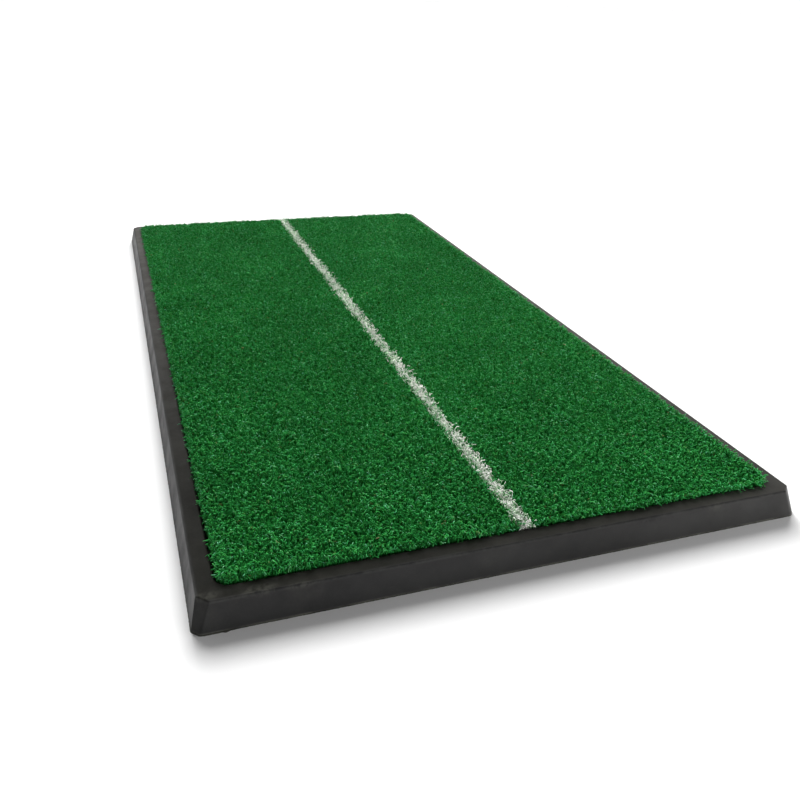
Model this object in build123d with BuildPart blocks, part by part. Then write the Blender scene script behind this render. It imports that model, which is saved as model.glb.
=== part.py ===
from build123d import *
import os
from math import cos, radians, sin, tan

# Golf hitting mat: a moulded rubber tray with a strip of tufted nylon turf bonded into its recess.
# Millimetres, +Z up. The origin is at the centre of the tray's underside. X runs across the mat and
# Y along it, in the direction of play.

# Tray, measured at its foot
TRAY_WIDTH = 330.2
TRAY_LENGTH = 635.0
RIM_HEIGHT = 15.0
FLANK_INSET = 3.5  # how far the outer flank leans in from foot to rim
FLOOR_THICKNESS = 7.0
RIM_EDGE_RADIUS = 1.0
MOUTH_EDGE_RADIUS = 0.6
FOOT_BEVEL = 0.5

# Each corner is a facet that meets the long side at a crease and runs into the short side in an arc.
# The facet widens from foot to rim, and the arc tightens.
CREASE_ANGLE = 45.0
FOOT_CREASE_SETBACK = 3.6
RIM_CREASE_SETBACK = 5.4
FOOT_ARC_REACH = 1.4
RIM_ARC_REACH = 0.6

# Moulded grip under the tray: a flat land round the edge and rows of nubs in a shallow panel
LAND_WIDTH = 14.0
GRIP_DEPTH = 1.2
NUB_RADIUS = 5.0
NUB_ROWS_X = 11
NUB_ROWS_Y = 22
NUB_PITCH = 27.0

# Turf, as cut, from the bottom layer to the top of the pile
TURF_WIDTH = 304.8
TURF_LENGTH = 609.6
TURF_CLEARANCE = 0.3
TURF_CORNER_RADIUS = 7.0
ADHESIVE_THICKNESS = 0.4
SECONDARY_BACKING_THICKNESS = 1.2
PRIMARY_BACKING_THICKNESS = 0.6
PILE_HEIGHT = 9.6
PILE_EDGE_RADIUS = 1.5
LINE_WIDTH = 8.0

FOOT_LEVEL = 0.0
ADHESIVE_LEVEL = FLOOR_THICKNESS
SECONDARY_LEVEL = ADHESIVE_LEVEL + ADHESIVE_THICKNESS
PRIMARY_LEVEL = SECONDARY_LEVEL + SECONDARY_BACKING_THICKNESS
PILE_LEVEL = PRIMARY_LEVEL + PRIMARY_BACKING_THICKNESS
PILE_TOP = PILE_LEVEL + PILE_HEIGHT


def tray_outline(level, inset):
    """Returns the face that the tray fills at one level, drawn in from the foot by the given inset."""
    half_width = TRAY_WIDTH / 2 - inset
    half_length = TRAY_LENGTH / 2 - inset
    share = level / RIM_HEIGHT
    setback = FOOT_CREASE_SETBACK + (RIM_CREASE_SETBACK - FOOT_CREASE_SETBACK) * share
    arc_reach = FOOT_ARC_REACH + (RIM_ARC_REACH - FOOT_ARC_REACH) * share
    crease = radians(CREASE_ANGLE)
    facet_direction = Vector(-sin(crease), cos(crease))
    # Where the facet's line would cross the short side: the arc begins short of it and ends past it
    crossing = Vector(half_width - setback * tan(crease), half_length)
    with BuildSketch(Plane.XY.offset(level)) as outline:
        with BuildLine():
            long_side = Line((half_width, 0), (half_width, half_length - setback))
            facet = Line(long_side @ 1, crossing - facet_direction * arc_reach)
            arc = TangentArc(facet @ 1, crossing - Vector(arc_reach, 0), tangent=facet % 1)
            Line(arc @ 1, (0, half_length))
            mirror(about=Plane.YZ)
            mirror(about=Plane.XZ)
        make_face()
    return outline.sketch


def turf_layer(bottom, thickness):
    """Returns one full-size flat layer of the turf."""
    with BuildPart() as layer:
        with BuildSketch(Plane.XY.offset(bottom)):
            RectangleRounded(TURF_WIDTH, TURF_LENGTH, TURF_CORNER_RADIUS)
        extrude(amount=thickness)
    return layer


def pile_strip(left, right):
    """Returns the pile between two places across the mat, rounded where it ends at the turf's edges."""
    with BuildPart() as strip:
        with BuildSketch(Plane.XY.offset(PILE_LEVEL)):
            RectangleRounded(TURF_WIDTH, TURF_LENGTH, TURF_CORNER_RADIUS)
            with Locations(((left + right) / 2, 0)):
                Rectangle(right - left, TURF_LENGTH, mode=Mode.INTERSECT)
        extrude(amount=PILE_HEIGHT)
        top_edges = strip.faces().sort_by(Axis.Z)[-1].edges()
        # The sides where two colours meet are centred on the mat and stay sharp
        meeting = top_edges.filter_by_position(Axis.Y, -LINE_WIDTH, LINE_WIDTH)
        meeting = meeting.filter_by_position(Axis.X, -LINE_WIDTH, LINE_WIDTH)
        fillet([edge for edge in top_edges if edge not in meeting], radius=PILE_EDGE_RADIUS)
    return strip


def save(part, name):
    """Labels one finished piece and writes it as its own STEP file."""
    part.part.label = name
    export_step(part.part, f"parts/{name}.step")


# The tray: a leaning outer wall round a shallow recess for the turf
with BuildPart() as rubber_tray:
    loft([tray_outline(FOOT_LEVEL, FOOT_BEVEL), tray_outline(FOOT_BEVEL, 0)], ruled=True)
    loft([tray_outline(FOOT_BEVEL, 0), tray_outline(RIM_HEIGHT, FLANK_INSET)], ruled=True)
    fillet(rubber_tray.faces().sort_by(Axis.Z)[-1].edges(), radius=RIM_EDGE_RADIUS)
    with BuildSketch(Plane.XY.offset(RIM_HEIGHT)):
        RectangleRounded(
            TURF_WIDTH + 2 * TURF_CLEARANCE,
            TURF_LENGTH + 2 * TURF_CLEARANCE,
            TURF_CORNER_RADIUS + TURF_CLEARANCE,
        )
    extrude(amount=FLOOR_THICKNESS - RIM_HEIGHT, mode=Mode.SUBTRACT)
    rim_top = rubber_tray.faces().filter_by(Axis.Z).sort_by(Axis.Z)[-1]
    fillet(rim_top.inner_wires().edges(), radius=MOUTH_EDGE_RADIUS)
    with BuildSketch(Plane.XY.offset(FOOT_LEVEL)):
        Rectangle(TRAY_WIDTH - 2 * LAND_WIDTH, TRAY_LENGTH - 2 * LAND_WIDTH)
        with GridLocations(NUB_PITCH, NUB_PITCH, NUB_ROWS_X, NUB_ROWS_Y):
            Circle(NUB_RADIUS, mode=Mode.SUBTRACT)
    extrude(amount=GRIP_DEPTH, mode=Mode.SUBTRACT)

# The turf, from its underside up
adhesive_film = turf_layer(ADHESIVE_LEVEL, ADHESIVE_THICKNESS)
secondary_backing = turf_layer(SECONDARY_LEVEL, SECONDARY_BACKING_THICKNESS)
primary_backing = turf_layer(PRIMARY_LEVEL, PRIMARY_BACKING_THICKNESS)
left_green_pile = pile_strip(-TURF_WIDTH / 2, -LINE_WIDTH / 2)
white_line_pile = pile_strip(-LINE_WIDTH / 2, LINE_WIDTH / 2)
right_green_pile = pile_strip(LINE_WIDTH / 2, TURF_WIDTH / 2)

os.makedirs("parts", exist_ok=True)
save(rubber_tray, "rubber_tray")
save(adhesive_film, "adhesive_film")
save(secondary_backing, "secondary_backing")
save(primary_backing, "primary_backing")
save(left_green_pile, "left_green_pile")
save(white_line_pile, "white_line_pile")
save(right_green_pile, "right_green_pile")
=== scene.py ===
from math import cos, pi, radians, sin, tau

import bpy
import numpy as np
from mathutils import Matrix, Vector


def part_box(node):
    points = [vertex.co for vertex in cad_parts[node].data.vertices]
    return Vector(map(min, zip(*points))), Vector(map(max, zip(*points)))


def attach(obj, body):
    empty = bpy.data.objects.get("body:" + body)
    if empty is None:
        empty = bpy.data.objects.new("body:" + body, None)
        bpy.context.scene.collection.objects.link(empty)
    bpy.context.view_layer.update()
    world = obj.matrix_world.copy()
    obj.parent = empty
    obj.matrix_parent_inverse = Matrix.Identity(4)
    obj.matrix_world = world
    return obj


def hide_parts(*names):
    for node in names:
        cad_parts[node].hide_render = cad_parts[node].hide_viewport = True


# Golf hitting mat: tufted nylon turf in a moulded rubber tray. Metres, in the frame of the CAD model.
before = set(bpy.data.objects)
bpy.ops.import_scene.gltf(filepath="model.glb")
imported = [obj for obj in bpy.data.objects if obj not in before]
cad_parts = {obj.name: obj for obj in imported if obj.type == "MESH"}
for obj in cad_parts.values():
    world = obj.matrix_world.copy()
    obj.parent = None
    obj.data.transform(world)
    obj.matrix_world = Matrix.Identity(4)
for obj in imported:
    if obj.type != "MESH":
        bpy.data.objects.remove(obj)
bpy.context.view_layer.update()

MM = 0.001
BODY = "root"
RNG = np.random.default_rng(2024)

# Camera
CAMERA_PLACE = Vector((-172.3, -587.4, 250.5)) * MM
CAMERA_AZIMUTH = radians(-20.05)
CAMERA_ELEVATION = radians(27.07)
CAMERA_ROLL = radians(2.36)
CAMERA_LENS = 35.57
CAMERA_SENSOR = 36.0

# What the frame says
TRAY_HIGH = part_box("rubber_tray")[1]
TURF_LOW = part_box("left_green_pile")[0]
TURF_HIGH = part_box("right_green_pile")[1]
LINE_LOW, LINE_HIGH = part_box("white_line_pile")
RIM_TOP = TRAY_HIGH.z
PILE_TOP = TURF_HIGH.z
BACKING_TOP = TURF_LOW.z

# Pile: one fibre to a cell of a jittered grid, inside the turf's rounded corners
FIBRE_PITCH = 1.24 * MM
FIBRE_JITTER = 0.45 * MM
TURF_CORNER = 7.0 * MM
ROOT_MARGIN = 0.8 * MM
PIECE_FIBRES = 6100
# How it is made uneven: height and size of each ripple over the mat, how far the fibres lean, where their
# tops lie from the top of the CAD solid, and the spread of that. All but the sizes are in millimetres
PILE_RIPPLES = ((0.22, 14 * MM), (0.14, 45 * MM))
PILE_LEAN = (0.5, 3.0)
PILE_LEVEL = -0.6
PILE_SPREAD = 0.36
# Length of a ripple's single waves, as a share of its size
RIPPLE_SPREAD = (0.7, 1.6)

# Dense base that the fibres rise out of: its depth below the pile's top, its lumps and its rounded edge
BASE_DROP = 2.9 * MM
BASE_MARGIN = 1.4 * MM
BASE_PITCH = 2.2 * MM
BASE_LUMPS = 0.35 * MM
BASE_EDGE_DROP = 4.5 * MM
BASE_EDGE_REACH = 1.3 * MM
# How far in from the sides a slab's grid is squeezed to round its corners
ROUNDING_REACH = 3 * TURF_CORNER

# Fringe round the turf's edge, in millimetres: how far in its roots are, how far it reaches out, its height
# above the rim, its drift sideways, and what its clumps and its few long strays add
FRINGE_PER_METRE = 4200
FRINGE_INSET = (0.4, 1.6)
FRINGE_REACH = (0.2, 1.9)
FRINGE_HEIGHT = (0.6, 3.3)
FRINGE_DRIFT = 1.1
CLUMP_SIZE = 5 * MM
CLUMP_REACH = 0.9
CLUMP_HEIGHT = 0.4
STRAY_SHARE = 0.12
STRAY_REACH = (0.6, 2.4)
# An outward direction with more than this much along Y is at one of the turf's ends
END_FACING = 0.7

# Fibres: a tube that starts CURL_HEIGHT below its top, leans over and winds round, thinner at its tip.
# The wave is in millimetres, and the bob is the part of it that goes up and down
CURL_STEPS = 5
CURL_HEIGHT = 4.2 * MM
CURL_HEIGHT_SPREAD = (0.8, 1.15)
CURL_TURNS = (0.55, 1.4)
CURL_WAVE = (0.35, 0.85)
LEAN_POWER = 1.5
WAVE_POWER = 0.5
RISE_SPEED = 1.3
RISE_END = 1.25
BOB_SHARE = 0.35
BOB_PHASE = 1.7
BOB_TURNS = 1.3
FIBRE_SIDES = 3
FIBRE_RADIUS = 0.29 * MM
FIBRE_TAPER = 0.7
FIBRE_THICKNESS = (0.75, 1.25)
WHITE_THICKNESS = 1.05
# Lift of a fibre that lies over the rim, as a share of its radius
RIM_LIFT = 1.3
# Each fibre's own brightness is drawn from a beta distribution, and grows from its root to its tip: painted
# shade low in the pile and a painted highlight at the tip
PILE_TONES = (2.2, 2.2)
FRINGE_TONES = (2.4, 2.0)
SHADE_AND_HIGHLIGHT_ALONG = (0.35, 1.12)
WHITE_SHADE = 0.28
# Share of a fibre's cell in the map that is left empty round it
ATLAS_MARGIN = 0.15

# Layers under the pile. The two cloth ones lie flat on what is named
LAYER_PITCH = 4.4 * MM
LAYER_RIPPLE = 40 * MM
WEAVE_PITCH = 2.4 * MM
SCRIM_PITCH = 5.0 * MM
COMB_PITCH = 4 * MM

# Tray corners at the foot: the facet starts FOOT_CREASE from the corner on the long side, and its arc ends
# FOOT_ARC from it on the short side. ARC_MIDDLE places the point between the arc's ends
FOOT_CREASE = 3.6 * MM
FOOT_ARC = 5.0 * MM
ARC_MIDDLE = 0.3

# Lip that the mould left round the foot. LIP_EDGE is the share of its thickness at its outer edge. Its reach
# is in shares of LIP_REACH: all round, its roughness, and what the wide place and the nub add
LIP_STEP = 0.8 * MM
LIP_THICKNESS = 0.4 * MM
LIP_EDGE = 0.4
LIP_REACH = 0.9 * MM
LIP_USUAL = 0.25
LIP_ROUGHNESS = 0.05
LIP_WIDE_PLACE = (-157.0 * MM, -317.5 * MM)
LIP_WIDE_SIZE = 9.0 * MM
LIP_WIDE_SHARE = 0.45
LIP_NUB_PLACE = (-150.5 * MM, -317.5 * MM)
LIP_NUB_SIZE = 1.2 * MM
LIP_NUB_SHARE = 0.6

# Scuffs on the near rim, drawn out along it: place, size and strength, and the one dark stain
MARK_STRETCH = 0.4
SCUFFS = (
    (-157.0 * MM, -310.0 * MM, 3.5 * MM, 0.25),
    (-134.0 * MM, -312.0 * MM, 4.5 * MM, 0.3),
    (-116.0 * MM, -315.0 * MM, 3.5 * MM, 0.25),
    (110.0 * MM, -316.5 * MM, 5 * MM, 0.3),
)
STAIN = (67.4 * MM, -316.3 * MM, 4.5 * MM)

# How far the pile leans out past the edge it was cut to, at the low and high end of each side. Below zero
# it is drawn in
OVERHANG = {
    "left": (-4.2 * MM, 2.2 * MM),
    "right": (0.0 * MM, 0.9 * MM),
    "near": (-3.6 * MM, 0.7 * MM),
    "far": (1.4 * MM, 1.4 * MM),
}
OVERHANG_REACH = 4.0 * MM
RECESS_CLEARANCE = 0.3 * MM

# White line: how far right of its CAD solid's middle it lies, its width as a share of the solid's, how wide
# the mixed fibres at its edges are, and the share of white ones at its middle
LINE_OFFSET = 0.8 * MM
LINE_WIDTH_SHARE = 0.93
LINE_CENTRE = (LINE_LOW.x + LINE_HIGH.x) / 2 + LINE_OFFSET
LINE_HALF = LINE_WIDTH_SHARE * (LINE_HIGH.x - LINE_LOW.x) / 2
LINE_FADE = 3.4 * MM
LINE_WHITES = 0.84

# Colours of the yarn, in linear light: from its darkest shade to its brightest, and the tints that these are
# multiplied by. Few fibres get the last tints
# Along each fibre these run from painted shade at the root to a painted highlight at the tip
GREEN_SHADES = (
    (0.0, (0.004, 0.055, 0.006)),
    (0.3, (0.017, 0.20, 0.033)),
    (0.7, (0.046, 0.395, 0.084)),
    (1.0, (0.17, 0.51, 0.26)),
)
GREEN_TINTS = (
    (0.0, (0.9, 0.95, 1.2)),
    (0.9, (1.15, 1, 0.95)),
    (0.985, (1.4, 1.0, 0.85)),
    (0.995, (2.4, 0.4, 0.6)),
)
WHITE_SHADES = (
    (0.0, (0.14, 0.22, 0.14)),
    (0.2, (0.60, 0.68, 0.58)),
    (0.5, (0.92, 0.93, 0.89)),
    (1.0, (1.0, 0.99, 0.98)),
)
WHITE_TINTS = (
    (0.0, (1.0, 0.98, 0.98)),
    (0.75, (1, 1, 1)),
    (1.0, (0.6, 0.95, 0.6)),
)
PATCH_TONES = ((0.3, (0.84, 0.86, 0.84)), (0.7, (1.12, 1.1, 1.1)))
GREEN_BASE_TONES = ((0.005, 0.085, 0.012), (0.026, 0.25, 0.05))
WHITE_BASE_TONES = ((0.10, 0.27, 0.12), (0.6, 0.72, 0.56))

# Colours of the layers under the pile
TAPE_TONES = (
    (0.0, (0.006, 0.007, 0.007)),
    (0.5, (0.018, 0.02, 0.019)),
    (1.0, (0.03, 0.033, 0.03)),
)
TAPE_STREAK = (0.045, 0.05, 0.045)
LATEX_TONES = ((0.3, (0.16, 0.165, 0.15)), (0.7, (0.24, 0.245, 0.22)))
SCRIM_THREAD = (0.42, 0.42, 0.38)
ADHESIVE_TONES = ((0.3, (0.36, 0.20, 0.05)), (0.7, (0.55, 0.36, 0.12)))
ADHESIVE_RIDGE = (0.68, 0.50, 0.22)

# Colours of the rubber
RUBBER_BLACK = ((0.3, (0.005, 0.005, 0.0038)), (0.7, (0.012, 0.0118, 0.0095)))
# The flanks' lighter grey: partly blooming rubber, partly painted light against the rim's darker top
RUBBER_BLOOM_AND_LIGHT = ((0.3, (0.0115, 0.0115, 0.0117)), (0.7, (0.0215, 0.0215, 0.0215)))
# Painted shade on the tray's corner facets
FACET_PAINTED_SHADE = (0.003, 0.003, 0.0028)
GRAIN_GREY = (0.06, 0.06, 0.058)
DUST_GREY = (0.085, 0.082, 0.072)
STREAK_GREY = (0.10, 0.098, 0.09)
# Settled dust, partly painted light
SETTLED_DUST_AND_LIGHT_GREY = (0.105, 0.1, 0.092)
SCUFF_GREY = (0.09, 0.09, 0.075)
STAIN_BLACK = (0.005, 0.005, 0.005)
FOOT_GREY = (0.11, 0.11, 0.095)
WEAR_GREY = (0.12, 0.118, 0.11)

# Floor
FLOOR_HALF = 60.0
FLOOR_WHITE = (0.86, 0.86, 0.86)


# Camera and light


def camera():
    az, el, roll = CAMERA_AZIMUTH, CAMERA_ELEVATION, CAMERA_ROLL
    back = Vector((sin(az) * cos(el), -cos(az) * cos(el), sin(el)))
    level = Vector((0, 0, 1)).cross(back).normalized()
    upright = back.cross(level)
    right = level * cos(roll) + upright * sin(roll)
    up = upright * cos(roll) - level * sin(roll)
    data = bpy.data.cameras.new("camera")
    data.lens = CAMERA_LENS
    data.sensor_width = CAMERA_SENSOR
    data.clip_start = 0.01
    data.clip_end = 100
    obj = bpy.data.objects.new("camera", data)
    turn = Matrix((right, up, back)).transposed().to_4x4()
    obj.matrix_world = Matrix.Translation(CAMERA_PLACE) @ turn
    bpy.context.scene.collection.objects.link(obj)
    bpy.context.scene.camera = obj


def lamp(name, kind, azimuth, elevation, distance, energy, **settings):
    """A lamp that looks at the mat from the given side. Azimuth 0 is +Y and 90 is +X.

    Nothing mirrors it: the gloss comes from the surround and the floor.
    """
    az, el = radians(azimuth), radians(elevation)
    towards = Vector((sin(az) * cos(el), cos(az) * cos(el), sin(el)))
    data = bpy.data.lights.new(name, kind)
    data.energy = energy
    for key, value in settings.items():
        setattr(data, key, value)
    obj = bpy.data.objects.new(name, data)
    obj.location = towards * distance
    obj.rotation_euler = towards.to_track_quat("Z", "Y").to_euler()
    obj.visible_camera = False
    obj.visible_glossy = False
    bpy.context.scene.collection.objects.link(obj)


def sky(horizon, zenith, low, high):
    """A plain studio surround that fades from horizon to zenith between two heights, low and high."""
    world = bpy.data.worlds.new("studio")
    bpy.context.scene.world = world
    world.use_nodes = True
    nt = world.node_tree
    place = nt.nodes.new("ShaderNodeTexCoord")
    split = nt.nodes.new("ShaderNodeSeparateXYZ")
    fade = nt.nodes.new("ShaderNodeMapRange")
    fade.interpolation_type = "SMOOTHSTEP"
    fade.inputs["From Min"].default_value = low
    fade.inputs["From Max"].default_value = high
    fade.inputs["To Min"].default_value = horizon
    fade.inputs["To Max"].default_value = zenith
    nt.links.new(place.outputs["Generated"], split.inputs[0])
    nt.links.new(split.outputs["Z"], fade.inputs["Value"])
    background = nt.nodes["Background"]
    background.inputs["Color"].default_value = (1, 1, 1, 1)
    nt.links.new(fade.outputs["Result"], background.inputs["Strength"])


# Materials


class Shader:
    """One material's nodes. Each call adds a node, links what it is given and returns its output."""

    def __init__(self, name):
        self.material = bpy.data.materials.new(name)
        self.material.use_nodes = True
        self.nodes = self.material.node_tree.nodes
        self.links = self.material.node_tree.links
        self.surface = self.nodes["Principled BSDF"]

    def put(self, socket, value):
        if isinstance(value, bpy.types.NodeSocket):
            self.links.new(value, socket)
        elif isinstance(value, tuple) and len(value) == 3 and socket.type == "RGBA":
            socket.default_value = (*value, 1)
        else:
            socket.default_value = value

    def set(self, **values):
        """Sets the surface's sockets, named in lower case with _ for a space."""
        for key, value in values.items():
            name = key.replace("_", " ").title().replace("Ior", "IOR")
            self.put(self.surface.inputs[name], value)

    def place(self):
        return self.nodes.new("ShaderNodeTexCoord").outputs["Object"]

    def stretched(self, x, y, z):
        node = self.nodes.new("ShaderNodeVectorMath")
        node.operation = "MULTIPLY"
        self.links.new(self.place(), node.inputs[0])
        node.inputs[1].default_value = (x, y, z)
        return node.outputs[0]

    def axis(self, name):
        node = self.nodes.new("ShaderNodeSeparateXYZ")
        self.links.new(self.place(), node.inputs[0])
        return node.outputs[name]

    def attribute(self, name):
        node = self.nodes.new("ShaderNodeAttribute")
        node.attribute_name = name
        return node.outputs["Fac"]

    def noise(self, size, detail=3.0, roughness=0.5, place=None):
        """Noise whose features are about size metres across."""
        node = self.nodes.new("ShaderNodeTexNoise")
        self.links.new(place or self.place(), node.inputs["Vector"])
        node.inputs["Scale"].default_value = 1 / size
        node.inputs["Detail"].default_value = detail
        node.inputs["Roughness"].default_value = roughness
        return node.outputs["Fac"]

    def math(self, operation, *values):
        node = self.nodes.new("ShaderNodeMath")
        node.operation = operation
        for socket, value in zip(node.inputs, values):
            self.put(socket, value)
        return node.outputs[0]

    def span(self, value, low, high, to_low=0.0, to_high=1.0):
        """Smoothly maps low..high to to_low..to_high, and holds outside."""
        node = self.nodes.new("ShaderNodeMapRange")
        node.interpolation_type = "SMOOTHSTEP"
        for name, item in zip(
            ("Value", "From Min", "From Max", "To Min", "To Max"),
            (value, low, high, to_low, to_high),
        ):
            self.put(node.inputs[name], item)
        return node.outputs["Result"]

    def ramp(self, value, *stops):
        node = self.nodes.new("ShaderNodeValToRGB")
        elements = node.color_ramp.elements
        while len(elements) < len(stops):
            elements.new(0.5)
        for element, (place, colour) in zip(elements, stops):
            element.position = place
            element.color = (*colour, 1)
        self.put(node.inputs["Fac"], value)
        return node.outputs["Color"]

    def mix(self, share, first, second, blend="MIX"):
        node = self.nodes.new("ShaderNodeMix")
        node.data_type = "RGBA"
        node.blend_type = blend
        self.put(node.inputs["Factor"], share)
        self.put(node.inputs[6], first)
        self.put(node.inputs[7], second)
        return node.outputs[2]

    def bump(self, height, distance, strength=1.0, normal=None):
        node = self.nodes.new("ShaderNodeBump")
        self.put(node.inputs["Height"], height)
        node.inputs["Distance"].default_value = distance
        node.inputs["Strength"].default_value = strength
        if normal is not None:
            self.links.new(normal, node.inputs["Normal"])
        return node.outputs["Normal"]


def nylon(name, shades, tints, patch):
    """Yarn: darker at the root and brighter at the tip, as painted shade and a painted highlight, each fibre
    its own brightness and tint, and soft patches over the mat.
    """
    s = Shader(name)
    colour = s.ramp(s.attribute("shade"), *shades)
    colour = s.mix(1.0, colour, s.ramp(s.attribute("tint"), *tints), "MULTIPLY")
    patches = s.ramp(s.noise(patch, detail=2.0), *PATCH_TONES)
    colour = s.mix(1.0, colour, patches, "MULTIPLY")
    s.set(base_color=colour, roughness=0.5, specular_ior_level=0.12)
    return s.material


def nylon_base(name, dark, light):
    """The packed fibres low in the pile: a fine speckle of the yarn's darker tones."""
    s = Shader(name)
    speckle = s.noise(1.1 * MM, detail=2.0, roughness=0.7)
    colour = s.ramp(speckle, (0.32, dark), (0.68, light))
    s.set(base_color=colour, roughness=0.8, specular_ior_level=0.05)
    s.set(normal=s.bump(speckle, 0.6 * MM))
    return s.material


def woven_backing():
    """Black polypropylene tape, woven plain: over and under, each way."""
    s = Shader("woven_backing")
    across = s.math("SINE", s.math("MULTIPLY", s.axis("X"), pi / WEAVE_PITCH))
    along = s.math("SINE", s.math("MULTIPLY", s.axis("Y"), pi / WEAVE_PITCH))
    over = s.span(s.math("MULTIPLY", across, along), -1.0, 1.0)
    streak = s.noise(0.7 * MM, detail=2.0, roughness=0.6)
    colour = s.ramp(over, *TAPE_TONES)
    colour = s.mix(s.span(streak, 0.3, 0.7, to_high=0.5), colour, TAPE_STREAK)
    s.set(base_color=colour, roughness=s.span(streak, 0.2, 0.8, to_low=0.35, to_high=0.55))
    s.set(normal=s.bump(over, 0.25 * MM), specular_ior_level=0.4)
    return s.material


def latex_coat():
    """Grey latex, rolled over an open scrim whose threads show as a grid."""
    s = Shader("latex_coat")
    across = s.math("PINGPONG", s.axis("X"), SCRIM_PITCH / 2)
    along = s.math("PINGPONG", s.axis("Y"), SCRIM_PITCH / 2)
    thread = s.span(s.math("MINIMUM", across, along), 0.25 * MM, 0.7 * MM, to_low=1.0, to_high=0.0)
    cloud = s.noise(12 * MM, detail=5.0, roughness=0.6)
    colour = s.ramp(cloud, *LATEX_TONES)
    colour = s.mix(s.math("MULTIPLY", thread, 0.6), colour, SCRIM_THREAD)
    pores = s.noise(1.2 * MM, detail=3.0, roughness=0.7)
    s.set(base_color=colour, roughness=s.span(pores, 0.3, 0.7, to_low=0.6, to_high=0.85))
    porous = s.bump(pores, 0.1 * MM, strength=0.6)
    s.set(normal=s.bump(thread, 0.2 * MM, normal=porous))
    return s.material


def turf_adhesive():
    """Amber contact adhesive, combed into ridges by the spreader."""
    s = Shader("turf_adhesive")
    wander = s.math("MULTIPLY", s.noise(80 * MM, detail=1.0), 50 * MM)
    ridge = s.math("SINE", s.math("MULTIPLY", s.math("ADD", s.axis("X"), wander), tau / COMB_PITCH))
    pool = s.noise(20 * MM, detail=4.0, roughness=0.6)
    colour = s.ramp(pool, *ADHESIVE_TONES)
    colour = s.mix(s.span(ridge, 0.2, 1.0, to_high=0.4), colour, ADHESIVE_RIDGE)
    s.set(base_color=colour, roughness=s.span(pool, 0.3, 0.7, to_low=0.25, to_high=0.45))
    s.set(normal=s.bump(ridge, 0.2 * MM), specular_ior_level=0.5)
    return s.material


def near_mark(s, x, y, size):
    """How near a place is to one mark on the near rim, broken up by noise."""
    node = s.nodes.new("ShaderNodeVectorMath")
    node.operation = "DISTANCE"
    s.links.new(s.stretched(MARK_STRETCH, 1, 1), node.inputs[0])
    node.inputs[1].default_value = (MARK_STRETCH * x, y, RIM_TOP)
    spot = s.span(node.outputs["Value"], 0.3 * size, size, to_low=1.0, to_high=0.0)
    broken = s.span(s.noise(3 * MM, detail=5.0, roughness=0.6), 0.35, 0.6)
    return s.math("MULTIPLY", spot, broken)


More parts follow.
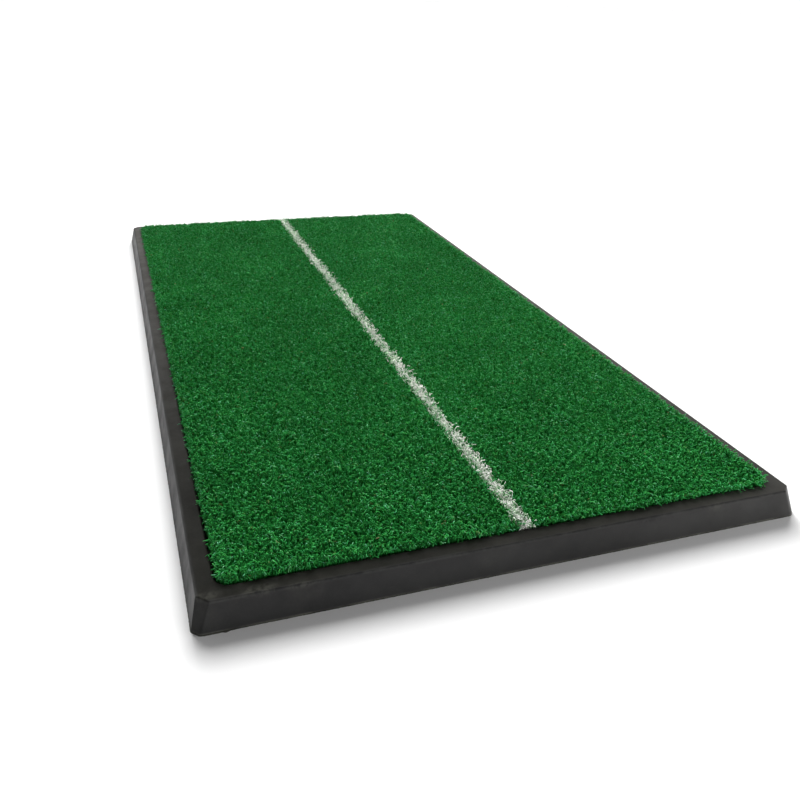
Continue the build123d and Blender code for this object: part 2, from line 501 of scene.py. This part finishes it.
def tray_rubber():
    """Moulded rubber: black on the rim; the corner facets near black as painted shade; the flanks greyer,
    partly blooming rubber and partly painted light; dust, whose settled part is partly painted light; and
    scuffs.
    """
    s = Shader("tray_rubber")
    out_x = s.math("SUBTRACT", TRAY_HIGH.x, s.math("ABSOLUTE", s.axis("X")))
    out_y = s.math("SUBTRACT", TRAY_HIGH.y, s.math("ABSOLUTE", s.axis("Y")))
    flank = s.span(s.math("MINIMUM", out_x, out_y), 3.6 * MM, 5.2 * MM, to_low=1.0, to_high=0.0)
    facing = s.nodes.new("ShaderNodeSeparateXYZ")
    s.links.new(s.nodes.new("ShaderNodeNewGeometry").outputs["True Normal"], facing.inputs[0])
    facing_x = s.math("ABSOLUTE", facing.outputs["X"])
    facing_y = s.math("ABSOLUTE", facing.outputs["Y"])
    # Faces that slant towards a corner, found by their normal, are darkened near black: painted shade
    facet = s.span(s.math("MINIMUM", facing_x, facing_y), 0.2, 0.45)
    # The flanks are lighter than the rim's top: partly blooming rubber, partly painted light
    black = s.ramp(s.noise(50 * MM, detail=4.0, roughness=0.6), *RUBBER_BLACK)
    bloom_and_light = s.ramp(s.noise(60 * MM, detail=4.0, roughness=0.6), *RUBBER_BLOOM_AND_LIGHT)
    tone = s.mix(flank, black, bloom_and_light)
    tone = s.mix(facet, tone, FACET_PAINTED_SHADE)
    grain = s.noise(0.9 * MM, detail=2.0, roughness=0.6)
    tone = s.mix(s.span(grain, 0.4, 0.8, to_high=0.06), tone, GRAIN_GREY)
    # Dust in soft patches, and short rubbed streaks across the tray
    dust = s.span(s.noise(22 * MM, detail=6.0, roughness=0.62), 0.52, 0.8, to_high=0.12)
    tone = s.mix(dust, tone, DUST_GREY)
    drawn_out = s.noise(4 * MM, detail=2.0, roughness=0.5, place=s.stretched(0.25, 1, 1))
    tone = s.mix(s.span(drawn_out, 0.68, 0.8, to_high=0.09), tone, STREAK_GREY)
    # Settled dust, thicker towards the far right corner: all of it on the rim, less on the flanks at the
    # ends, and none on the side flanks. It is partly painted light: the rim grows lighter towards the right
    # and the far end, where light and sheen fall
    settled_and_lit = s.span(s.math("ADD", s.axis("X"), s.axis("Y")), -0.5, 0.25, to_high=0.47)
    bare = s.math("MULTIPLY", flank, s.math("SUBTRACT", 1.0, s.math("MULTIPLY", facing_y, 0.6)))
    settled_and_lit = s.math("MULTIPLY", settled_and_lit, s.math("SUBTRACT", 1.0, bare))
    uneven = s.span(s.noise(30 * MM, detail=4.0, roughness=0.6), 0.3, 0.7, to_low=0.8, to_high=1.15)
    tone = s.mix(s.math("MULTIPLY", settled_and_lit, uneven), tone, SETTLED_DUST_AND_LIGHT_GREY)
    # Scuffs on the near rim: grey where dust was rubbed in, and one dark stain
    for x, y, size, amount in SCUFFS:
        tone = s.mix(s.math("MULTIPLY", near_mark(s, x, y, size), amount), tone, SCUFF_GREY)
    stain = near_mark(s, *STAIN)
    tone = s.mix(s.math("MULTIPLY", stain, 0.7), tone, STAIN_BLACK)
    # Dust that gathers along the foot
    foot = s.span(s.axis("Z"), 0.3 * MM, 1.4 * MM, to_low=1.0, to_high=0.0)
    patchy = s.span(s.noise(10 * MM, detail=4.0, roughness=0.6), 0.3, 0.65, to_low=0.15, to_high=0.8)
    gathered = s.math("MULTIPLY", foot, patchy)
    tone = s.mix(s.math("MULTIPLY", gathered, flank), tone, FOOT_GREY)
    # Wear along the rim's outer edge
    high = s.span(s.axis("Z"), RIM_TOP - 1.6 * MM, RIM_TOP - 0.3 * MM)
    broken = s.span(s.noise(6 * MM, detail=5.0, roughness=0.65), 0.35, 0.7)
    wear = s.math("MULTIPLY", s.math("MULTIPLY", flank, high), broken)
    tone = s.mix(s.math("MULTIPLY", wear, 0.2), tone, WEAR_GREY)
    rough = s.noise(12 * MM, detail=4.0, roughness=0.6)
    rough = s.span(rough, 0.3, 0.7, to_low=0.44, to_high=0.6)
    fine = s.bump(grain, 0.03 * MM, strength=0.4)
    normal = s.bump(s.noise(18 * MM, detail=2.0), 0.25 * MM, strength=0.4, normal=fine)
    s.set(base_color=tone, roughness=rough, normal=normal, specular_ior_level=0.22)
    return s.material


# Fibres


def tube_mesh(name, paths, radii, shades, tints):
    """Joins one closed three-sided tube per path into a mesh. paths is (fibres, points, 3)."""
    count, rings = paths.shape[:2]
    sides = FIBRE_SIDES
    tangents = np.gradient(paths, axis=1)
    tangents /= np.linalg.norm(tangents, axis=2, keepdims=True)
    normal = np.cross(tangents[:, 0], RNG.normal(size=(count, 3)))
    normals = np.empty_like(paths)
    for j in range(rings):
        t = tangents[:, j]
        normal = normal - (normal * t).sum(1, keepdims=True) * t
        normal /= np.linalg.norm(normal, axis=1, keepdims=True)
        normals[:, j] = normal
    binormals = np.cross(tangents, normals)
    angles = np.arange(sides) * tau / sides
    ring = (
        np.cos(angles)[:, None] * normals[:, :, None, :]
        + np.sin(angles)[:, None] * binormals[:, :, None, :]
    )
    points = paths[:, :, None, :] + ring * radii[:, :, None, None]
    base = (np.arange(count) * rings * sides)[:, None, None]
    j = np.arange(rings - 1)[None, :, None]
    k = np.arange(sides)[None, None, :]
    near, far = base + j * sides, base + (j + 1) * sides
    after = (k + 1) % sides
    quads = np.stack([near + k, near + after, far + after, far + k], axis=-1).reshape(-1, 4)
    roots = base[:, 0] + np.arange(sides)[::-1]
    tips = base[:, 0] + (rings - 1) * sides + np.arange(sides)
    loops = np.concatenate([quads.ravel(), roots.ravel(), tips.ravel()])
    quad_starts = np.arange(len(quads)) * 4
    cap_starts = len(quads) * 4 + np.arange(2 * count) * sides
    mesh = bpy.data.meshes.new(name)
    mesh.vertices.add(points.size // 3)
    mesh.vertices.foreach_set("co", points.astype(np.float32).ravel())
    mesh.loops.add(len(loops))
    mesh.loops.foreach_set("vertex_index", loops.astype(np.int32))
    mesh.polygons.add(len(quads) + 2 * count)
    starts = np.concatenate([quad_starts, cap_starts])
    mesh.polygons.foreach_set("loop_start", starts.astype(np.int32))
    mesh.update(calc_edges=True)
    mesh.shade_smooth()
    for key, values in (("shade", shades), ("tint", np.repeat(tints[:, None], rings, axis=1))):
        per_vertex = np.repeat(values.reshape(-1), sides).astype(np.float32)
        mesh.attributes.new(key, "FLOAT", "POINT").data.foreach_set("value", per_vertex)
    fibre_atlas(mesh, count, rings)
    return mesh


def fibre_atlas(mesh, count, rings):
    """Gives each fibre its own cell of a square map: its length runs across the cell, its girth up it."""
    sides = FIBRE_SIDES
    cells = int(np.ceil(np.sqrt(count)))
    number = np.arange(count)[:, None, None, None]
    j = np.arange(rings - 1)[None, :, None, None]
    k = np.arange(sides)[None, None, :, None]
    across = (j + np.array([0, 0, 1, 1])) / (rings - 1) + 0 * k
    up = (k + np.array([0, 1, 1, 0])) / sides + 0 * j
    margin = ATLAS_MARGIN
    cell_x, cell_y = number % cells, number // cells
    u = (cell_x + margin + (1 - 2 * margin) * across) / cells
    v = (cell_y + margin + (1 - 2 * margin) * up) / cells
    walls = np.stack([u + 0 * v, v + 0 * u], axis=-1).reshape(-1, 2)
    girth = np.arange(sides) / sides
    ends = []
    for at, order in ((0.0, girth[::-1]), (1.0, girth)):
        eu = (cell_x[:, 0, 0] + margin + (1 - 2 * margin) * at) / cells + 0 * order
        ev = (cell_y[:, 0, 0] + margin + (1 - 2 * margin) * order) / cells
        ends.append(np.stack([eu, ev], axis=-1).reshape(-1, 2))
    coordinates = np.concatenate([walls, *ends]).astype(np.float32)
    layer = mesh.uv_layers.new(name="OFBake")
    layer.uv.foreach_set("vector", coordinates.ravel())


def ripple(x, y, size, waves=7):
    """A smooth random height over the mat, about -1 to 1, with features about size across."""
    total = np.zeros_like(x)
    for _ in range(waves):
        way, phase = RNG.uniform(0, tau, 2)
        pitch = tau / (size * RNG.uniform(*RIPPLE_SPREAD))
        total += np.sin(pitch * (x * cos(way) + y * sin(way)) + phase)
    return total / waves**0.5


def fibre_places():
    """Where the fibres stand, inside the turf's rounded corners."""
    half_x, half_y = TURF_HIGH.x - ROOT_MARGIN, TURF_HIGH.y - ROOT_MARGIN
    columns, rows = round(2 * half_x / FIBRE_PITCH), round(2 * half_y / FIBRE_PITCH)
    x, y = np.meshgrid(np.linspace(-half_x, half_x, columns), np.linspace(-half_y, half_y, rows))
    x, y = x.ravel(), y.ravel()
    x = np.clip(x + RNG.normal(0, 1, x.size) * FIBRE_JITTER, -half_x, half_x)
    y = np.clip(y + RNG.normal(0, 1, y.size) * FIBRE_JITTER, -half_y, half_y)
    past_x = np.abs(x) - (TURF_HIGH.x - TURF_CORNER)
    past_y = np.abs(y) - (TURF_HIGH.y - TURF_CORNER)
    keep = (past_x < 0) | (past_y < 0) | (np.hypot(past_x, past_y) < TURF_CORNER - ROOT_MARGIN)
    return x[keep], y[keep]


def curls(x, y, top, lean_x, lean_y):
    """Paths of fibres that start in the pile's base at x, y, lean over and curl."""
    count = x.size
    t = np.linspace(0, 1, CURL_STEPS + 1)[None, :]
    turns = (RNG.uniform(*CURL_TURNS, count) * RNG.choice([-1, 1], count))[:, None]
    wave = (RNG.uniform(*CURL_WAVE, count) * MM)[:, None]
    phase = RNG.uniform(0, tau, count)[:, None]
    start = (top - CURL_HEIGHT * RNG.uniform(*CURL_HEIGHT_SPREAD, count))[:, None]
    lean = t**LEAN_POWER
    spread = t**WAVE_POWER
    spin = phase + tau * turns * t
    px = x[:, None] + lean_x[:, None] * lean + wave * (np.cos(spin) - np.cos(phase)) * spread
    py = y[:, None] + lean_y[:, None] * lean + wave * (np.sin(spin) - np.sin(phase)) * spread
    rise = np.sin(np.minimum(t * RISE_SPEED, RISE_END) * pi / 2)
    bob = BOB_SHARE * wave * np.sin(BOB_PHASE * phase + BOB_TURNS * tau * turns * t)
    return np.stack([px, py, start + (top[:, None] - start) * rise + bob], axis=-1)


def main_pile():
    """The fibres over the whole turf: their paths, their own brightness, and which are white."""
    x, y = fibre_places()
    height = sum(strength * ripple(x, y, size) for strength, size in PILE_RIPPLES)
    way = RNG.uniform(0, tau, x.size)
    lean = RNG.uniform(*PILE_LEAN, x.size) * MM
    top = PILE_TOP + (PILE_LEVEL + height + RNG.normal(0, PILE_SPREAD, x.size)) * MM
    paths = curls(x, y, top, lean * np.cos(way), lean * np.sin(way))
    return paths, RNG.beta(*PILE_TONES, x.size), is_white(x)


def turf_edge(count, inset):
    """Random places along the turf's edge, set in by inset, and the outward direction at each."""
    core = np.array([TURF_HIGH.x - TURF_CORNER, TURF_HIGH.y - TURF_CORNER])
    lengths = np.array([2 * core[1], 2 * core[1], 2 * core[0], 2 * core[0], tau * TURF_CORNER])
    part = RNG.choice(5, count, p=lengths / lengths.sum())
    along = RNG.uniform(-1, 1, count)
    turn = RNG.uniform(0, tau, count)
    outward = np.array([(1, 0), (-1, 0), (0, 1), (0, -1), (0, 0)], float)[part]
    arc = np.stack([np.cos(turn), np.sin(turn)], axis=1)
    outward = np.where((part == 4)[:, None], arc, outward)
    centre = np.where(outward == 0, along[:, None], np.sign(outward)) * core
    return centre + outward * (TURF_CORNER - inset)[:, None], outward


def fringe():
    """Shorter fibres round the turf's edge, which hide its side and spill over the tray's rim."""
    around = 4 * (TURF_HIGH.x + TURF_HIGH.y)
    count = int(around * FRINGE_PER_METRE)
    places, outward = turf_edge(count, RNG.uniform(*FRINGE_INSET, count) * MM)
    clumps = ripple(*places.T, CLUMP_SIZE)
    strays = np.where(RNG.uniform(0, 1, count) < STRAY_SHARE, RNG.uniform(*STRAY_REACH, count), 0.0)
    out = RNG.uniform(*FRINGE_REACH, count) + CLUMP_REACH * clumps + strays
    drift = RNG.normal(0, FRINGE_DRIFT, count)
    lean = (outward * out[:, None] + outward[:, ::-1] * drift[:, None] * (-1, 1)) * MM
    top = RIM_TOP + (RNG.uniform(*FRINGE_HEIGHT, count) + CLUMP_HEIGHT * clumps) * MM
    ends = np.abs(outward[:, 1]) > END_FACING
    x, y = places.T
    return curls(x, y, top, *lean.T), RNG.beta(*FRINGE_TONES, count), is_white(x) & ends


def is_white(x):
    """Picks the line's fibres: nearly all of them at its middle, fewer towards its edges."""
    share = (LINE_HALF - np.abs(x - LINE_CENTRE)) / LINE_FADE + 0.5
    return RNG.uniform(0, 1, x.size) < LINE_WHITES * np.clip(share, 0, 1)


def splay(paths):
    """Leans the fibres near the turf's edges outward, and lifts what lies over the rim clear of it."""
    root = paths[:, :1]
    rise = np.clip((paths[..., 2] - BACKING_TOP) / (PILE_TOP - BACKING_TOP), 0, 1) ** 2
    for side, (low, high) in OVERHANG.items():
        axis = 0 if side in ("left", "right") else 1
        sign = -1 if side in ("left", "near") else 1
        half = (TURF_HIGH.x, TURF_HIGH.y)
        inside = half[axis] - sign * root[..., axis]
        share = root[..., 1 - axis] / half[1 - axis] / 2 + 0.5
        push = (low + (high - low) * share) * np.exp(-np.maximum(inside, 0) / OVERHANG_REACH)
        paths[..., axis] += sign * push * rise
    over_x = np.abs(paths[..., 0]) > TURF_HIGH.x + RECESS_CLEARANCE - FIBRE_RADIUS
    over_y = np.abs(paths[..., 1]) > TURF_HIGH.y + RECESS_CLEARANCE - FIBRE_RADIUS
    lifted = np.maximum(paths[..., 2], RIM_TOP + RIM_LIFT * FIBRE_RADIUS)
    paths[..., 2] = np.where(over_x | over_y, lifted, paths[..., 2])
    return paths


def pile(green, white):
    """Makes all the fibres, sorts them by colour and side, and cuts each group along Y into pieces."""
    made = [main_pile(), fringe()]
    paths = splay(np.concatenate([m[0] for m in made]))
    own = np.concatenate([m[1] for m in made])
    whites = np.concatenate([m[2] for m in made])
    count, rings = paths.shape[:2]
    thickness = RNG.uniform(*FIBRE_THICKNESS, count) * np.where(whites, WHITE_THICKNESS, 1.0)
    radii = FIBRE_RADIUS * thickness[:, None] * np.linspace(1.0, FIBRE_TAPER, rings)
    # Painted shade towards each fibre's root and a painted highlight towards its tip
    along = np.linspace(*SHADE_AND_HIGHLIGHT_ALONG, rings)
    own = np.where(whites, WHITE_SHADE + (1 - WHITE_SHADE) * own, own)
    shades = np.clip(own[:, None] * along, 0, 1)
    tints = RNG.uniform(0, 1, count)
    left = paths[:, 0, 0] < LINE_CENTRE
    for name, mask, material, slot, node in (
        ("left_green_tufts", ~whites & left, green, "green_nylon", "left_green_pile"),
        ("right_green_tufts", ~whites & ~left, green, "green_nylon", "right_green_pile"),
        ("white_line_tufts", whites, white, "white_nylon", "white_line_pile"),
    ):
        index = np.flatnonzero(mask)
        index = index[np.argsort(paths[index, 0, 1], kind="stable")]
        pieces = -(-len(index) // PIECE_FIBRES)
        for number, part in enumerate(np.array_split(index, pieces), 1):
            mesh = tube_mesh(f"{name}_{number:02d}", paths[part], radii[part], shades[part], tints[part])
            add_piece(mesh, material, slot, node)


def rounded(x, y):
    """Draws in a grid's outer columns so that its outline follows the turf's rounded corners."""
    past = np.clip(np.abs(y) - (TURF_HIGH.y - TURF_CORNER), 0, TURF_CORNER)
    drawn_in = TURF_CORNER - np.sqrt(TURF_CORNER**2 - past**2)
    share = np.clip((np.abs(x) - (TURF_HIGH.x - ROUNDING_REACH)) / ROUNDING_REACH, 0, 1)
    return x - np.sign(x) * drawn_in * share


def slab_mesh(name, low, high, pitch, over=None, under=None):
    """A closed slab between two corners. over and under give how far its top and underside stand out."""
    columns = max(2, round((high.x - low.x) / pitch) + 1)
    rows = max(2, round((high.y - low.y) / pitch) + 1)
    x, y = np.meshgrid(np.linspace(low.x, high.x, columns), np.linspace(low.y, high.y, rows))
    x = rounded(x, y)
    above = np.full_like(x, high.z) + (over(x, y) if over else 0)
    below = np.full_like(x, low.z) - (under(x, y) if under else 0)
    points = np.concatenate([np.stack([x, y, z], axis=-1).reshape(-1, 3) for z in (above, below)])
    grid = np.arange(x.size).reshape(rows, columns)
    a, b, c, d = grid[:-1, :-1], grid[:-1, 1:], grid[1:, 1:], grid[1:, :-1]
    lid = np.stack([a, b, c, d], axis=-1).reshape(-1, 4)
    rim = np.concatenate([grid[0, :-1], grid[:-1, -1], grid[-1, :0:-1], grid[:0:-1, 0]])
    after = np.roll(rim, -1)
    walls = np.stack([rim, rim + x.size, after + x.size, after], axis=-1)
    faces = np.concatenate([lid, lid[:, ::-1] + x.size, walls])
    mesh = bpy.data.meshes.new(name)
    mesh.from_pydata(points.tolist(), [], faces.tolist())
    mesh.shade_smooth()
    return mesh


def layer(name, node, material, slot, waviness):
    """One flat layer of the turf's backing, a little uneven underneath, as rolled out."""
    low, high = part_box(node)

    def uneven(x, y):
        return -np.abs(waviness * ripple(x, y, LAYER_RIPPLE))

    mesh = slab_mesh(name, low, high, LAYER_PITCH, under=uneven)
    piece = add_piece(mesh, material, slot, node)


def pile_base(name, left, right, material, slot, node):
    """The dense lower part of the pile between two places across the mat, which closes its gaps."""
    low = Vector((left, TURF_LOW.y + BASE_MARGIN, BACKING_TOP))
    high = Vector((right, TURF_HIGH.y - BASE_MARGIN, PILE_TOP - BASE_DROP))

    def lumps(x, y):
        past_x = np.maximum(np.abs(x) - (TURF_HIGH.x - TURF_CORNER), 0)
        past_y = np.maximum(np.abs(y) - (TURF_HIGH.y - TURF_CORNER), 0)
        edge = np.maximum(TURF_CORNER - np.hypot(past_x, past_y), 0)
        return BASE_LUMPS * RNG.normal(0, 1, x.shape) - BASE_EDGE_DROP * np.exp(-edge / BASE_EDGE_REACH)

    add_piece(slab_mesh(name, low, high, BASE_PITCH, over=lumps), material, slot, node)


def add_piece(mesh, material, slot, *nodes):
    """Puts a mesh in the scene as a piece that rides on the mat and stands for those CAD nodes."""
    obj = bpy.data.objects.new(mesh.name, mesh)
    bpy.context.scene.collection.objects.link(obj)
    mesh.materials.append(material)
    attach(obj, BODY)
    if nodes:
        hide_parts(*nodes)
    return obj


def tray_foot(step):
    """Points round the tray's foot and the outward direction at each: sides, facets and arcs."""
    half_x, half_y = TRAY_HIGH.x, TRAY_HIGH.y
    arc = (FOOT_ARC - FOOT_CREASE) / 2**0.5
    corner = [
        (half_x, half_y - FOOT_CREASE),
        (half_x - FOOT_CREASE + arc, half_y - arc),
        (half_x - FOOT_CREASE + ARC_MIDDLE * arc, half_y - ARC_MIDDLE * arc),
        (half_x - FOOT_ARC, half_y),
    ]
    loop = [(half_x, 0)] + corner + [(-x, y) for x, y in reversed(corner)] + [(-half_x, 0)]
    loop += [(-x, -y) for x, y in corner] + [(x, -y) for x, y in reversed(corner)] + [(half_x, 0)]
    corners = np.array(loop)
    length = np.hypot(*np.diff(corners, axis=0).T)
    along = np.concatenate([[0], np.cumsum(length)])
    at = np.linspace(0, along[-1], round(along[-1] / step), endpoint=False)
    places = np.stack([np.interp(at, along, corners[:, k]) for k in (0, 1)], axis=1)
    way = np.roll(places, -1, axis=0) - np.roll(places, 1, axis=0)
    way /= np.linalg.norm(way, axis=1, keepdims=True)
    return places, np.stack([way[:, 1], -way[:, 0]], axis=1)


def moulding_lip(material):
    """The thin lip of rubber that the mould left round the foot, wider at one end, with a nub there."""
    places, outward = tray_foot(LIP_STEP)
    count = len(places)
    wide = np.hypot(*(places - LIP_WIDE_PLACE).T) / LIP_WIDE_SIZE
    nub = np.hypot(*(places - LIP_NUB_PLACE).T) / LIP_NUB_SIZE
    reach = LIP_REACH * (LIP_USUAL + LIP_ROUGHNESS * RNG.normal(0, 1, count))
    reach += LIP_REACH * (LIP_WIDE_SHARE * np.exp(-(wide**2)) + LIP_NUB_SHARE * np.exp(-(nub**2)))
    rows = []
    for out, level in (
        (-LIP_REACH, 0.0),
        (reach, 0.0),
        (reach, LIP_EDGE * LIP_THICKNESS),
        (-LIP_REACH, LIP_THICKNESS),
    ):
        flat = places + outward * np.broadcast_to(out, count)[:, None]
        rows.append(np.column_stack([flat, np.full(count, level)]))
    points = np.stack(rows, axis=1).reshape(-1, 3)
    first = np.arange(count)[:, None] * 4
    after = (first + 4) % (4 * count)
    j = np.arange(4)[None, :]
    k = (j + 1) % 4
    faces = np.stack([first + j, first + k, after + k, after + j], axis=-1).reshape(-1, 4)
    mesh = bpy.data.meshes.new("moulding_lip")
    mesh.from_pydata(points.tolist(), [], faces.tolist())
    add_piece(mesh, material, "tray_rubber")


def floor():
    """A plain pale floor, large enough to fill the camera's view. It isn't part of the mat."""
    mesh = bpy.data.meshes.new("floor")
    half = FLOOR_HALF
    corners = [(-half, -half, 0), (half, -half, 0), (half, half, 0), (-half, half, 0)]
    mesh.from_pydata(corners, [], [(0, 1, 2, 3)])
    obj = bpy.data.objects.new("floor", mesh)
    bpy.context.scene.collection.objects.link(obj)
    s = Shader("floor")
    s.set(base_color=FLOOR_WHITE, roughness=0.7, specular_ior_level=0.0)
    mesh.materials.append(s.material)


def dress(node, material):
    """Gives a CAD node that stays in view its material."""
    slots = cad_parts[node].data.materials
    slots.clear()
    slots.append(material)


camera()
floor()
sky(horizon=1.05, zenith=0.09, low=0.02, high=0.75)
lamp("key", "SUN", azimuth=14, elevation=35, distance=2.0, energy=5.1, angle=radians(38))
lamp("back", "AREA", azimuth=10, elevation=30, distance=1.9, energy=26, shape="DISK", size=0.9)
box = {"shape": "RECTANGLE", "size": 1.2, "size_y": 0.16}
lamp("softbox", "AREA", azimuth=126, elevation=5, distance=1.1, energy=9.5, **box)
bpy.context.scene.view_settings.view_transform = "Standard"

rubber = tray_rubber()
dress("rubber_tray", rubber)
moulding_lip(rubber)
layer("turf_adhesive_bed", "adhesive_film", turf_adhesive(), "turf_adhesive", 0.06 * MM)
layer("latex_scrim_sheet", "secondary_backing", latex_coat(), "latex_coat", 0.04 * MM)
layer("woven_sheet", "primary_backing", woven_backing(), "woven_backing", 0.05 * MM)
green = nylon("green_nylon", GREEN_SHADES, GREEN_TINTS, 50 * MM)
white = nylon("white_nylon", WHITE_SHADES, WHITE_TINTS, 30 * MM)
pile(green, white)
green_base = nylon_base("green_nylon_base", *GREEN_BASE_TONES)
white_base = nylon_base("white_nylon_base", *WHITE_BASE_TONES)
line_left = LINE_CENTRE - LINE_HALF
line_right = LINE_CENTRE + LINE_HALF
turf_left = TURF_LOW.x + BASE_MARGIN
turf_right = TURF_HIGH.x - BASE_MARGIN
pile_base("left_green_base", turf_left, line_left, green_base, "green_nylon", "left_green_pile")
pile_base("white_line_base", line_left, line_right, white_base, "white_nylon", "white_line_pile")
pile_base("right_green_base", line_right, turf_right, green_base, "green_nylon", "right_green_pile")
